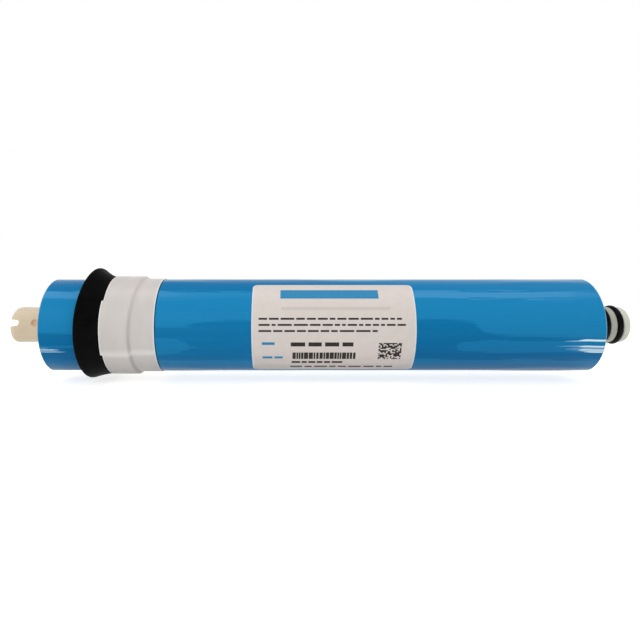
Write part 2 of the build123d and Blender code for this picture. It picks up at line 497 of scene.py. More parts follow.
def close_tree(tree, geometry, given):
    """End a tree: real geometry, its material, its output."""
    real = add(tree, "GeometryNodeRealizeInstances", {"Geometry": geometry})
    dressed = add(
        tree, "GeometryNodeSetMaterial", {"Geometry": real, "Material": given["Material"]}
    )
    add(tree, "NodeGroupOutput", {"Geometry": dressed})
    return tree


def grow(tree, values, source=None):
    """Plain mesh that a tree makes with these values of its named inputs."""

    def dress(carrier):
        modifier = carrier.modifiers.new("Nodes", "NODES")
        modifier.node_group = tree
        for socket in tree.interface.items_tree:
            if socket.in_out == "INPUT" and socket.name in values:
                modifier[socket.identifier] = values[socket.name]

    return evaluated(source or bpy.data.meshes.new("seed"), dress)


# Rotation that turns what lies round Z to lie round X
ROUND_X = (0, TURN / 4, 0)

# Inputs of the trees that wind a sheet or a net
SPIRAL = ["Inner Radius", "Outer Radius", "Turns"]


def o_ring_tree():
    """Rings of round cord, one behind the other along the axis."""
    radii = ["Cord Radius", "Ring Radius"]
    tree, given = new_tree("O-rings", Float=radii, Vector=["First", "Step"], Int=["Count"])
    circle = "GeometryNodeCurvePrimitiveCircle"
    path = add(tree, circle, {"Resolution": RING_STEPS, "Radius": given["Ring Radius"]})
    cord = add(tree, circle, {"Resolution": CORD_STEPS, "Radius": given["Cord Radius"]})
    ring = add(tree, "GeometryNodeCurveToMesh", {"Curve": path, "Profile Curve": cord})
    upright = add(tree, "GeometryNodeTransform", {"Geometry": ring, "Rotation": ROUND_X})
    places = add(
        tree,
        "GeometryNodeMeshLine",
        {"Count": given["Count"], "Start Location": given["First"], "Offset": given["Step"]},
    )
    rings = add(tree, "GeometryNodeInstanceOnPoints", {"Points": places, "Instance": upright})
    return close_tree(tree, rings, given)


def flat_spiral(given):
    """Inputs of a flat spiral, from the sockets of a tree for its radii and turns."""
    return {
        "Resolution": SPIRAL_STEPS,
        "Rotations": given["Turns"],
        "Start Radius": given["Inner Radius"],
        "End Radius": given["Outer Radius"],
        "Height": 0.0,
    }


def wound_sheet_tree():
    """Sheet of even thickness wound into a spiral along the axis."""
    tree, given = new_tree("Wound sheet", Float=[*SPIRAL, "Thickness", "Length"])
    spiral = add(tree, "GeometryNodeCurveSpiral", flat_spiral(given))
    path = add(tree, "GeometryNodeSetCurveNormal", {"Curve": spiral}, mode="Z_UP")
    edge = add(
        tree,
        "GeometryNodeCurvePrimitiveQuadrilateral",
        {"Width": given["Thickness"], "Height": given["Length"]},
    )
    sheet = add(
        tree, "GeometryNodeCurveToMesh", {"Curve": path, "Profile Curve": edge, "Fill Caps": True}
    )
    along = add(tree, "GeometryNodeTransform", {"Geometry": sheet, "Rotation": ROUND_X})
    return close_tree(tree, along, given)


def net_end_tree():
    """Two crossing layers of net strands that end at one face of the roll."""
    strands = ["Spacing", "Strand Radius", "Strand Length", "Slope", "Shift"]
    tree, given = new_tree("Net end", Float=SPIRAL + strands, Vector=["Face"])
    spiral = add(tree, "GeometryNodeCurveSpiral", flat_spiral(given))
    upright = add(
        tree,
        "GeometryNodeTransform",
        {"Geometry": spiral, "Rotation": ROUND_X, "Translation": given["Face"]},
    )
    points = add(
        tree,
        "GeometryNodeCurveToPoints",
        {"Curve": upright, "Length": given["Spacing"]},
        mode="LENGTH",
    )
    strand = add(
        tree,
        "GeometryNodeMeshCylinder",
        {
            "Vertices": STRAND_SIDES,
            "Radius": given["Strand Radius"],
            "Depth": given["Strand Length"],
        },
    )
    layers = add(tree, "GeometryNodeJoinGeometry")
    for side in (-1, 1):
        slope = add(tree, "ShaderNodeMath", {0: given["Slope"], 1: side}, operation="MULTIPLY")
        shift = add(tree, "ShaderNodeMath", {0: given["Shift"], 1: side}, operation="MULTIPLY")
        lean, outward = (
            add(
                tree,
                "ShaderNodeVectorMath",
                {0: points.outputs[name], "Scale": share},
                operation="SCALE",
            )
            for name, share in (("Tangent", slope), ("Normal", shift))
        )
        way = add(tree, "ShaderNodeVectorMath", {0: lean, 1: AXIS}, operation="ADD")
        pose = add(tree, "FunctionNodeAlignRotationToVector", {"Vector": way}, axis="Z")
        moved = add(tree, "GeometryNodeSetPosition", {"Geometry": points, "Offset": outward})
        rods = add(
            tree,
            "GeometryNodeInstanceOnPoints",
            {"Points": moved, "Instance": strand, "Rotation": pose},
        )
        fill(tree, layers, {"Geometry": rods})
    return close_tree(tree, layers, given)


def print_tree():
    """Flat bars of ink, one for each point of the layout, bent round the label."""
    tree, given = new_tree("Label print", Float=["Radius"])
    bar = add(
        tree,
        "GeometryNodeMeshCube",
        {"Size": (1, 1, 1), "Vertices X": 2, "Vertices Y": 6, "Vertices Z": 2},
    )
    sizes = add(tree, "GeometryNodeInputNamedAttribute", {"Name": "bar"}, data_type="FLOAT_VECTOR")
    bars = add(
        tree,
        "GeometryNodeInstanceOnPoints",
        {"Points": given["Geometry"], "Instance": bar, "Scale": sizes},
    )
    flat = add(tree, "GeometryNodeRealizeInstances", {"Geometry": bars})
    position = add(tree, "GeometryNodeInputPosition")
    place = add(tree, "ShaderNodeSeparateXYZ", {"Vector": position}).outputs
    angle = add(tree, "ShaderNodeMath", {0: place["Y"], 1: given["Radius"]}, operation="DIVIDE")
    radius = add(tree, "ShaderNodeMath", {0: place["Z"], 1: given["Radius"]}, operation="ADD")
    inward = add(tree, "ShaderNodeMath", {0: radius, 1: -1.0}, operation="MULTIPLY")
    across = {}
    for axis, function in (("Y", "COSINE"), ("Z", "SINE")):
        wave = add(tree, "ShaderNodeMath", {0: angle}, operation=function)
        across[axis] = add(tree, "ShaderNodeMath", {0: wave, 1: inward}, operation="MULTIPLY")
    bent = add(tree, "ShaderNodeCombineXYZ", {"X": place["X"], **across})
    wrapped = add(tree, "GeometryNodeSetPosition", {"Geometry": flat, "Position": bent})
    outward = add(tree, "GeometryNodeFlipFaces", {"Mesh": wrapped})
    return close_tree(tree, outward, given)


# Materials


def dulled(shade, share):
    """Colour at a share of its brightness."""
    return [part * share for part in shade[:3]] + [1.0]


def new_material(name):
    """Empty material with its tree, its shader and the piece's own coordinates."""
    made = bpy.data.materials.new(name)
    made.use_nodes = True
    tree = made.node_tree
    place = add(tree, "ShaderNodeTexCoord").outputs["Object"]
    return made, tree, tree.nodes["Principled BSDF"], place


def mottle(tree, place, grain, stretch=(1, 1, 1), low=0.0, high=1.0):
    """Clouds between two values, whose grain is a size in metres, stretched along the axes."""
    seat = add(tree, "ShaderNodeMapping", {"Vector": place, "Scale": stretch})
    clouds = add(tree, "ShaderNodeTexNoise", {"Vector": seat, "Scale": 1 / grain, "Detail": 3.0})
    # Most of the noise lies between these two values
    return add(
        tree,
        "ShaderNodeMapRange",
        {"Value": clouds, "From Min": 0.3, "From Max": 0.7, "To Min": low, "To Max": high},
    )


def two_tone(tree, shader, pattern, one, two, smooth, dull):
    """Finish that runs with a pattern between two colours and between two roughnesses."""
    shade = add(tree, "ShaderNodeMix", {0: pattern, 6: one, 7: two}, data_type="RGBA")
    gloss = add(tree, "ShaderNodeMapRange", {"Value": pattern, "To Min": smooth, "To Max": dull})
    fill(tree, shader, {"Base Color": shade, "Roughness": gloss})
    return shade


def edged(tree, shader, inside, edge):
    """Turn a finish to another colour along the edges that its mesh marks."""
    share = add(tree, "ShaderNodeAttribute", attribute_name="edge").outputs["Fac"]
    shade = add(tree, "ShaderNodeMix", {0: share, 6: inside, 7: edge}, data_type="RGBA")
    fill(tree, shader, {"Base Color": shade})


def tooth(tree, shader, place, grain, depth, stretch=(1, 1, 1)):
    """Give a finish a fine relief of a grain and a depth in metres."""
    relief = mottle(tree, place, grain, stretch)
    bump = add(tree, "ShaderNodeBump", {"Height": relief, "Distance": depth, "Strength": 0.5})
    fill(tree, shader, {"Normal": bump})


def moulded_abs(tube):
    # Moulded ABS: a dull satin cream, warm at the tail and cooler at the spigot, with faint
    # flow clouds and a tan stain of old glue at the vent hole. Painted shade and grease grey it
    # about the O-rings. Light goes a little way in.
    made, tree, shader, place = new_material("Moulded ABS")
    along = add(tree, "ShaderNodeSeparateXYZ", {"Vector": place}).outputs["X"]
    share = add(tree, "ShaderNodeMapRange", {"Value": along, "From Min": TAIL, "From Max": SPIGOT})
    resin = add(
        tree,
        "ShaderNodeMix",
        {0: share, 6: tube.tail_colour, 7: tube.spigot_colour},
        data_type="RGBA",
    )
    between_rings = add(
        # Painted shade and grease: darker grey about the O-rings
        tree, "ShaderNodeMath", {0: along, 1: RING_MIDDLE, 2: RING_PITCH}, operation="COMPARE"
    )
    shade_and_grease = add(tree, "ShaderNodeMix", {0: between_rings, 6: resin, 7: tube.shade_and_grease_colour}, data_type="RGBA")
    clouds = mottle(tree, place, 7 * MM, high=0.35)
    cloudy = dulled(tube.tail_colour, 0.82)
    clouded = two_tone(tree, shader, clouds, shade_and_grease, cloudy, smooth=0.38, dull=0.8)
    vent = on_body(FEED - tube.vent_setback, tube.end_r, tube.slot_turn)
    off_vent = add(tree, "ShaderNodeVectorMath", {0: place, 1: vent}, operation="DISTANCE")
    stain = add(
        tree,
        "ShaderNodeMapRange",
        {
            "Value": off_vent,
            "From Min": tube.hole_r * 0.9,
            "From Max": tube.hole_r * 1.6,
            "To Min": 0.6,
            "To Max": 0.0,
        },
    )
    stained = add(
        tree, "ShaderNodeMix", {0: stain, 6: clouded, 7: tube.stain_colour}, data_type="RGBA"
    )
    fill(
        tree,
        shader,
        {
            "Base Color": stained,
            "Specular IOR Level": 0.4,
            "Subsurface Weight": 0.6,
            "Subsurface Radius": (1.0, 0.7, 0.45),
            "Subsurface Scale": 4 * MM,
        },
    )
    # Mould texture of about 0.1 mm is drawn at 0.4 mm so that it shows
    tooth(tree, shader, place, grain=0.4 * MM, depth=0.01 * MM)
    return made


def nitrile_rubber(rings):
    # Nitrile rubber with silicone grease: black with soft, smeared highlights
    made, tree, shader, place = new_material("Greased nitrile rubber")
    smear = mottle(tree, place, 2.5 * MM, (1, 0.4, 0.4))
    greyer = dulled(rings.colour, 2.2)
    two_tone(tree, shader, smear, rings.colour, greyer, smooth=0.3, dull=0.5)
    fill(tree, shader, {"Specular IOR Level": 0.07})
    tooth(tree, shader, place, grain=0.5 * MM, depth=0.01 * MM)
    return made


def seal_rubber(seal):
    # Moulded EPDM: matt black with a thin grey bloom and a fine tooth
    made, tree, shader, place = new_material("Moulded EPDM rubber")
    bloom = mottle(tree, place, 5 * MM)
    two_tone(tree, shader, bloom, seal.colour, seal.bloom, smooth=0.45, dull=0.6)
    fill(tree, shader, {"Specular IOR Level": 0.03})
    tooth(tree, shader, place, grain=0.6 * MM, depth=0.02 * MM)
    return made


# Painted highlights along creases that run in from the film's ends: far end and full width
# along X in millimetres, angle round the body in degrees, half width in millimetres and strength
CREASE_HIGHLIGHTS = (
    (109, 114, 14.2, 0.6, 0.6),
    (115.5, 119, 13.4, 0.75, 1.8),
    (106, 116, 20.6, 0.7, 0.5),
    (116, 119, 21.2, 0.7, 1.7),
    (110, 118, 24.5, 2.6, 0.32),
    (116.5, 118.5, 25.8, 1.5, 0.9),
    (119, 122, 28.6, 0.65, 1.7),
    (-119, -123, 25.6, 0.8, 0.8),
    (-116.5, -121, 28.4, 0.6, 0.75),
    (-124, -126, 23.2, 0.45, 0.45),
)

# Lines along the film, as points of a place along X in millimetres and a value: the depth in
# millimetres at which the painted shade of the deeper zone starts, half the width of a paler patch
# of painted reflection below it, how far a painted highlight band above it shows, and how much
# painted shade darkens the film downwards and near its top
SHADE_EDGE = (
    (-128, 1.9), (-112, 1.9), (-76, -0.5), (-62, -1.4), (-53, -3.5), (-37, -3.9),
    (55, -3.8), (66, -3.2), (75, 1.7), (93, 3.3), (128, 3.9),
)
LIGHT_PATCH_HALF = (
    (-128, 0.7), (-112, 0.7), (-76, 3.6), (-62, 2.0), (-55, 0), (58, 0), (62, 1.2), (67, 2.4),
    (93, 2.5), (128, 2.6),
)
HIGHLIGHT_BAND_SHARE = (
    (-128, 0.34), (-76, 0.22), (-46, 0), (34, 0), (44, 0.35), (108, 0.3), (118, 0.1), (128, 0),
)
SHADE_DOWNWARDS = ((-128, 0.55), (-112, 0.55), (-78, 0.12), (-30, 0.12), (50, 0.42), (128, 0.36))
SHADE_AT_TOP = ((-128, 0.6), (-30, 0.6), (50, 0.25), (128, 0.2))

# Depths in millimetres of the middles of the painted light patch and the painted highlight band,
# half the band's width, and how much of the painted shade blue the patch adds, which is less than
# none
LIGHT_PATCH_DEPTH, HIGHLIGHT_BAND_DEPTH, HIGHLIGHT_BAND_HALF = 8.2, -15.4, 1.6
LIGHT_PATCH_SHARE = -0.42

# Painted shadow beside the tape: its middle past the tape's edge and half its width
SHADOW_PAST, SHADOW_HALF = 0.15 * MM, 0.25 * MM


def drawn_along(tree, along, points, unit=1.0):
    """Value in a unit that follows points of a place in millimetres along X and a value."""
    places = [at for at, value in points]
    values = [value for at, value in points]
    first, last = places[0], places[-1]
    low, high = min(values), max(values)
    share = add(
        tree,
        "ShaderNodeMapRange",
        {"Value": along, "From Min": first * MM, "From Max": last * MM},
    )
    line = add(tree, "ShaderNodeFloatCurve", {"Value": share})
    knots = line.mapping.curves[0].points
    spots = [((at - first) / (last - first), (value - low) / (high - low)) for at, value in points]
    knots[0].location, knots[1].location = spots[0], spots[-1]
    for spot in spots[1:-1]:
        knots.new(*spot)
    for knot in knots:
        knot.handle_type = "AUTO_CLAMPED"
    line.mapping.update()
    return add(
        tree, "ShaderNodeMapRange", {"Value": line, "To Min": low * unit, "To Max": high * unit}
    )


def wrap_film(wrap):
    # Stretched polypropylene film: saturated blue under a clear gloss. Its long zones with ragged
    # edges are painted shade and painted reflections, deeper blue below and paler in a painted
    # highlight band, and painted highlights run along creases at the cut ends
    made, tree, shader, place = new_material("Stretched polypropylene film")
    turned = add(tree, "ShaderNodeVectorMath", {0: place, 1: (1, -1, -1)}, operation="MULTIPLY")
    sides = add(tree, "ShaderNodeSeparateXYZ", {"Vector": turned}).outputs
    along, depth = sides["X"], sides["Z"]
    sway = mottle(tree, place, 6 * MM, (0.1, 1, 1), -0.7 * MM, 0.7 * MM)
    strokes = mottle(tree, place, 1.0 * MM, (0.045, 1, 1), -0.9 * MM, 0.9 * MM)
    uneven = add(tree, "ShaderNodeMath", {0: sway, 1: strokes}, operation="ADD")
    level = add(tree, "ShaderNodeMath", {0: depth, 1: uneven}, operation="ADD")
    edge = drawn_along(tree, along, SHADE_EDGE, MM)
    below = add(tree, "ShaderNodeMath", {0: level, 1: edge}, operation="SUBTRACT")
    shade_zones = mottle(tree, place, 1.8 * MM, (0.03, 1, 1), -0.06, 0.06)
    # Zones of painted shade and painted reflection: what each is measured by, where it starts and
    # is full in millimetres, and how deep it is
    for value, start, end, share in (
        (below, -0.8, 0.8, 0.56),
        (level, -4, 13, drawn_along(tree, along, SHADE_DOWNWARDS)),
        (level, 14.4, 15, -0.55),
        (level, -16.6, -17.4, drawn_along(tree, along, SHADE_AT_TOP)),
    ):
        zone = add(
            tree,
            "ShaderNodeMapRange",
            {"Value": value, "From Min": start * MM, "From Max": end * MM, "To Max": share},
        )
        shade_zones = add(tree, "ShaderNodeMath", {0: shade_zones, 1: zone}, operation="ADD")
    # Painted reflection: a paler patch below the edge of the painted shade
    half = drawn_along(tree, along, LIGHT_PATCH_HALF, MM)
    light_patch = add(
        tree, "ShaderNodeMath", {0: level, 1: LIGHT_PATCH_DEPTH * MM, 2: half}, operation="COMPARE"
    )
    shade_zones = add(
        tree, "ShaderNodeMath", {0: light_patch, 1: LIGHT_PATCH_SHARE, 2: shade_zones}, operation="MULTIPLY_ADD"
    )
    film = two_tone(tree, shader, shade_zones, wrap.colour, wrap.painted_shade_blue, smooth=0.07, dull=0.1)
    # Painted highlight: a pale band high on the film
    highlight_band = add(
        tree,
        "ShaderNodeMath",
        {0: level, 1: HIGHLIGHT_BAND_DEPTH * MM, 2: HIGHLIGHT_BAND_HALF * MM},
        operation="COMPARE",
    )
    share = drawn_along(tree, along, HIGHLIGHT_BAND_SHARE)
    band_highlight = add(tree, "ShaderNodeMath", {0: highlight_band, 1: share}, operation="MULTIPLY")
    with_band_highlight = add(tree, "ShaderNodeMix", {0: band_highlight, 6: film, 7: wrap.painted_highlight_blue}, data_type="RGBA")

    angle = add(tree, "ShaderNodeMath", {0: depth, 1: sides["Y"]}, operation="ARCTAN2")
    wobble = mottle(tree, place, 14 * MM, (1, 0.05, 0.05), -0.01, 0.01)
    bent = add(tree, "ShaderNodeMath", {0: angle, 1: wobble}, operation="ADD")
    # Painted highlights along creases at the cut ends
    crease_highlight = 0.0
    for start, end, middle, half, strength in CREASE_HIGHLIGHTS:
        past = add(tree, "ShaderNodeMath", {0: bent, 1: math.radians(middle)}, operation="SUBTRACT")
        off = add(tree, "ShaderNodeMath", {0: past}, operation="ABSOLUTE")
        width = half * MM / BODY_R
        run = add(
            tree,
            "ShaderNodeMapRange",
            {"Value": along, "From Min": start * MM, "From Max": end * MM, "To Max": width},
        )
        line = add(
            tree,
            "ShaderNodeMapRange",
            {"Value": off, "From Max": run, "To Min": strength, "To Max": 0.0},
            interpolation_type="SMOOTHERSTEP",
        )
        crease_highlight = add(tree, "ShaderNodeMath", {0: crease_highlight, 1: line}, operation="MAXIMUM")
    # Painted shadow: a thin dark line on the film along the edge of the tape
    edge_shadow = add(
        tree,
        "ShaderNodeMath",
        {0: along, 1: TAPE_HIGH.x + SHADOW_PAST, 2: SHADOW_HALF},
        operation="COMPARE",
    )
    with_edge_shadow = add(
        tree, "ShaderNodeMix", {0: edge_shadow, 6: with_band_highlight, 7: wrap.edge_shadow_colour}, data_type="RGBA"
    )
    crease_highlight_tint = add(
        tree,
        "ShaderNodeMix",
        {0: crease_highlight, 6: wrap.faint_crease_highlight, 7: wrap.crease_highlight_colour},
        data_type="RGBA",
    )
    whitened = add(tree, "ShaderNodeMix", {0: crease_highlight, 6: with_edge_shadow, 7: crease_highlight_tint}, data_type="RGBA")
    fill(
        tree,
        shader,
        {
            "Base Color": whitened,
            "IOR": 1.49,
            "Specular IOR Level": 0.12,
            "Specular Tint": (0.25, 0.75, 1.0, 1.0),
        },
    )
    # Draw lines of a few hundredths of a millimetre are drawn 1 mm apart so that they show
    tooth(tree, shader, place, grain=1.0 * MM, depth=0.006 * MM, stretch=(0.02, 1, 1))
    return made


def edge_highlight_film(wrap):
    # Slit edge of the film: pale blue in clouds, a painted highlight along the cut edge
    made, tree, shader, place = new_material("Slit film edge")
    layers = mottle(tree, place, 1.2 * MM, high=0.6)
    two_tone(tree, shader, layers, wrap.edge_colour, wrap.colour, smooth=0.4, dull=0.5)
    return made


def vinyl_tape(tape):
    # White vinyl tape: a warm satin white, slightly stretched round the body, with a
    # brighter slit edge, a painted highlight along the free end, and painted shade that greys it
    # on the ramp over the seal's edge, more downwards
    made, tree, shader, place = new_material("White vinyl tape")
    clouds = mottle(tree, place, 6 * MM, (1, 0.35, 0.35))
    cloudy, grey = dulled(tape.colour, 0.93), dulled(tape.colour, 0.76)
    body = two_tone(tree, shader, clouds, tape.colour, cloudy, smooth=0.32, dull=0.42)
    # Painted shade on the ramp over the seal's edge
    ramp_shade = add(tree, "ShaderNodeAttribute", attribute_name="ramp_shade").outputs["Fac"]
    ramp_shaded = add(tree, "ShaderNodeMix", {0: ramp_shade, 6: body, 7: grey}, data_type="RGBA")
    edged(tree, shader, ramp_shaded, tape.edge_colour)
    tooth(tree, shader, place, grain=1.5 * MM, depth=0.01 * MM, stretch=(1, 0.2, 0.2))
    return made


def coated_paper(label):
    # Coated label paper under a clear film: an even warm white with a soft gloss and a
    # bright cut edge
    made, tree, shader, place = new_material("Coated label paper")
    fibre = mottle(tree, place, 3 * MM)
    cloudy = dulled(label.colour, 0.95)
    body = two_tone(tree, shader, fibre, label.colour, cloudy, smooth=0.46, dull=0.54)
    edged(tree, shader, body, label.edge_colour)
    fill(tree, shader, {"Coat Weight": 0.15, "Coat Roughness": 0.35})
    # Paper fibres are drawn at 0.8 mm so that they show
    tooth(tree, shader, place, grain=0.8 * MM, depth=0.004 * MM)
    return made


def printing_ink(name, shade, paper):
    # Printed ink: thin and dull, a little worn so that some of the paper shows through
    made, tree, shader, place = new_material(name)
    wear = mottle(tree, place, 0.7 * MM, high=0.04)
    two_tone(tree, shader, wear, shade, paper, smooth=0.38, dull=0.6)
    fill(tree, shader, {"Specular IOR Level": 0.15})
    return made


def woven_sheet(name, shade, thread, smooth):
    # Wet-laid or knitted polyester: matt, with the crossed lines of its threads
    made, tree, shader, place = new_material(name)
    weft = mottle(tree, place, thread, (0.2, 1, 1))
    warp = mottle(tree, place, thread, (1, 0.2, 1))
    gaps = add(tree, "ShaderNodeMath", {0: weft, 1: warp}, operation="MINIMUM")
    two_tone(tree, shader, gaps, shade, dulled(shade, 0.72), smooth, dull=smooth + 0.1)
    bump = add(
        tree,
        "ShaderNodeBump",
        {"Height": gaps, "Distance": 0.05 * MM, "Strength": 0.5},
        invert=True,
    )
    fill(tree, shader, {"Normal": bump})
    return made


def natural_polypropylene(roll):
    # Extruded polypropylene net: milky and waxy, so that light goes a little way in
    made, tree, shader, place = new_material("Natural polypropylene net")
    milk = mottle(tree, place, 2 * MM)
    cloudy = dulled(roll.net_colour, 0.8)
    two_tone(tree, shader, milk, roll.net_colour, cloudy, smooth=0.35, dull=0.45)
    fill(tree, shader, {"Transmission Weight": 0.1})
    return made


def seen(tree):
    """One for rays that show the background: those of the camera, of gloss and of glass."""
    rays = add(tree, "ShaderNodeLightPath").outputs
    clear = {0: rays["Is Glossy Ray"], 1: rays["Is Transmission Ray"]}
    gloss = add(tree, "ShaderNodeMath", clear, operation="MAXIMUM")
    return add(tree, "ShaderNodeMath", {0: rays["Is Camera Ray"], 1: gloss}, operation="MAXIMUM")


def floor_paper(stage):
    # Seamless paper: a matt pale sheet that fades into the background at its rim
    made, tree, shader, place = new_material("Seamless paper")
    fibre = mottle(tree, place, 20 * MM)
    cloudy = dulled(stage.floor_colour, 0.985)
    two_tone(tree, shader, fibre, stage.floor_colour, cloudy, smooth=0.85, dull=0.95)
    out = add(tree, "ShaderNodeVectorMath", {0: place}, operation="LENGTH")
    fade = add(
        tree,
        "ShaderNodeMapRange",
        {
            "Value": out,
            "From Min": stage.floor_r * 0.55,
            "From Max": stage.floor_r * 0.98,
            "To Min": 1.0,
            "To Max": 0.0,
        },
    )
    lift = add(tree, "ShaderNodeMath", {0: seen(tree), 1: stage.floor_lift}, operation="MULTIPLY")
    fill(
        tree,
        shader,
        {
            "Specular IOR Level": 0.1,
            "Alpha": fade,
            "Emission Strength": lift,
            "Emission Color": WHITE,
        },
    )
    return made


# Operators


class ELEMENT_OT_tube(bpy.types.Operator):
    """Build the permeate tube with its slotted tail and grooved spigot"""

    bl_idname = "element.tube"
    bl_label = "Permeate Tube"

    def execute(self, context):
        tube = context.scene.element.tube
        rings = context.scene.element.rings
        groove_r = rings.outer_r - rings.section
        bore_floor = TAIL + tube.tail_bore_depth
        bore_end = bore_floor + tube.web
        # Even rows on the tail give the slot and the vent hole small faces to cut
        rows = between(TAIL + 2.5 * MM, TAIL + 20.5 * MM, 18)
        corners = [(x, tube.end_r, 0) for x in rows]
        corners += [
            (FEED, tube.end_r, 0),
            (FEED, BARREL_R, 0),
            (PERMEATE, BARREL_R, 0),
            (PERMEATE, tube.end_r, 0),
        ]
        for ring in range(rings.count):
            middle = rings.first + ring * rings.pitch
            for side, radius in ((-1, tube.end_r), (-1, groove_r), (1, groove_r), (1, tube.end_r)):
                corners.append((middle + side * rings.groove / 2, radius, rings.groove_rounding))
        corners += [
            (SPIGOT, tube.end_r, tube.spigot_rounding),
            (SPIGOT, tube.bore_r, tube.bore_rounding),
            (bore_end, tube.bore_r, 0),
            (bore_end, 0, 0),
        ]

        def outline(angle):
            worn = tube.tail_rounding - tube.tail_wear * math.sin(angle)
            mouth = [
                (bore_floor, 0, 0),
                (bore_floor, tube.tail_bore_r, tube.floor_rounding),
                (TAIL, tube.tail_bore_r, tube.mouth_rounding),
                (TAIL, tube.end_r, worn),
            ]
            points = [tuple(point) for point in soften(mouth + corners)]
            points[0] = (points[0][0], 0)
            points[-1] = (points[-1][0], 0)
            return points

        cut = revolve("tube", outline, evenly(TUBE_STEPS), closed=False)

        reach = 2 * tube.end_r
        half_mouth, half_root = tube.slot_mouth / 2, tube.slot_root / 2
        ahead = 1 * MM
        wide = half_mouth + (half_mouth - half_root) / tube.slot_depth * ahead
        slot = soften(
            [
                (TAIL - ahead, wide, 0),
                (TAIL + tube.slot_depth, half_root, tube.slot_rounding),
                (TAIL + tube.slot_depth, -half_root, tube.slot_rounding),
                (TAIL - ahead, -wide, 0),
            ]
        )
        cutters = [prism(slot, on_body(0, 1, tube.slot_turn), -reach, reach)]
        holes = [(FEED - tube.vent_setback, tube.slot_turn, tube.end_r - tube.vent_fill)]
        holes += [(side * tube.hole_spread / 2, 0.0, 0.0) for side in (-1, 1)]
        for x, angle, start in holes:
            circle = [
                (x + tube.hole_r * math.cos(a), tube.hole_r * math.sin(a))
                for a in evenly(HOLE_STEPS)
            ]
            cutters.append(prism(circle, on_body(0, 1, angle), start, reach))
        for cutter in cutters:
            knife = bpy.data.objects.new("knife", skin("knife", cutter, capped=True))
            context.scene.collection.objects.link(knife)

            def dress(carrier):
                boolean = carrier.modifiers.new("Cut", "BOOLEAN")
                boolean.operation = "DIFFERENCE"
                boolean.solver = "EXACT"
                boolean.object = knife

            cut = evaluated(cut, dress)
            bpy.data.objects.remove(knife)
        settle("permeate_tube_moulding", cut, [moulded_abs(tube)], ["permeate_tube"])
        return {"FINISHED"}


class ELEMENT_OT_o_rings(bpy.types.Operator):
    """Build the O-rings in the spigot's grooves"""

    bl_idname = "element.o_rings"
    bl_label = "O-rings"

    def execute(self, context):
        rings = context.scene.element.rings
        rubber = nitrile_rubber(rings)
        mesh = grow(
            o_ring_tree(),
            {
                "Cord Radius": rings.section / 2,
                "Ring Radius": rings.outer_r - rings.section / 2,
                "First": (rings.first, 0, 0),
                "Step": (rings.pitch, 0, 0),
                "Count": rings.count,
                "Material": rubber,
            },
        )
        settle("o_rings", mesh, [rubber], ["inboard_o_ring", "outboard_o_ring"])
        return {"FINISHED"}


class ELEMENT_OT_roll(bpy.types.Operator):
    """Wind the leaf, the feed spacer and the permeate carrier on the tube"""

    bl_idname = "element.roll"
    bl_label = "Wound Roll"

    def execute(self, context):
        roll = context.scene.element.roll
        body = PERMEATE - FEED
        sheet_tree = wound_sheet_tree()
        inner = BARREL_R + roll.carrier + roll.leaf / 2
        outer = ROLL_R - roll.leaf / 2
        pitch = (outer - inner) / roll.turns

        def spiral(start, end, turns, finish):
            """Values that wind a sheet or a net between two radii."""
            return {"Inner Radius": start, "Outer Radius": end, "Turns": turns, "Material": finish}

        def pressed(mesh):
            """Press what winds out past the film's inner face flat against it."""
            limit = ROLL_R - roll.slack
            for vertex in mesh.vertices:
                share = limit / max(limit, math.hypot(vertex.co.y, vertex.co.z))
                vertex.co.y *= share
                vertex.co.z *= share
            return mesh

        leaf = woven_sheet(
            "Polyester-backed membrane", roll.leaf_colour, thread=0.5 * MM, smooth=0.6
        )
        run_out = roll.run_out * roll.leaf / pitch
        path = spiral(inner, outer + pitch * run_out, roll.turns + run_out, leaf)
        mesh = grow(sheet_tree, {**path, "Thickness": roll.leaf, "Length": body})
        settle("membrane_leaf_roll", pressed(mesh), [leaf], ["membrane_leaf"])

        cloth = woven_sheet(
            "Tricot carrier cloth", roll.carrier_colour, thread=0.4 * MM, smooth=0.8
        )
        cloth_r = BARREL_R + roll.carrier / 2
        path = spiral(cloth_r, cloth_r + pitch / 2, 1.0, cloth)
        mesh = grow(sheet_tree, {**path, "Thickness": roll.carrier, "Length": body})
        settle("permeate_carrier_wrap", mesh, [cloth], ["permeate_carrier"])

        net = natural_polypropylene(roll)
        turns = roll.turns - 1 + roll.run_out
        path = spiral(inner + pitch / 2, outer - pitch / 2 + pitch * roll.run_out, turns, net)
        reach = roll.strand_end * math.cos(roll.strand_turn)
        inside = body - 2 * (reach - roll.strand)
        parts = [grow(sheet_tree, {**path, "Thickness": roll.sheet, "Length": inside})]
        end_tree = net_end_tree()
        for face, side in ((FEED, 1), (PERMEATE, -1)):
            strands = {
                **path,
                "Spacing": roll.mesh_size,
                "Strand Radius": roll.strand / 2,
                "Strand Length": roll.strand_end,
                "Slope": math.tan(roll.strand_turn),
                "Face": (face + side * (reach / 2 + roll.strand / 2), 0, 0),
                "Shift": roll.strand / 4,
            }
            parts.append(grow(end_tree, strands))
        joined = bmesh.new()
        for part in parts:
            joined.from_mesh(part)
        mesh = bpy.data.meshes.new("net")
        joined.to_mesh(mesh)
        joined.free()
        settle("feed_spacer_net", pressed(mesh), [net], ["feed_spacer"])
        return {"FINISHED"}


# Ripples of the film: waves round the body, and the lengths over which they drift along it.
# Even rows along the film carry them.
LONG_WAVES, SHORT_WAVES = 7, 17
LONG_DRIFT, SHORT_DRIFT = 170 * MM, 61 * MM
FILM_ROWS = 128


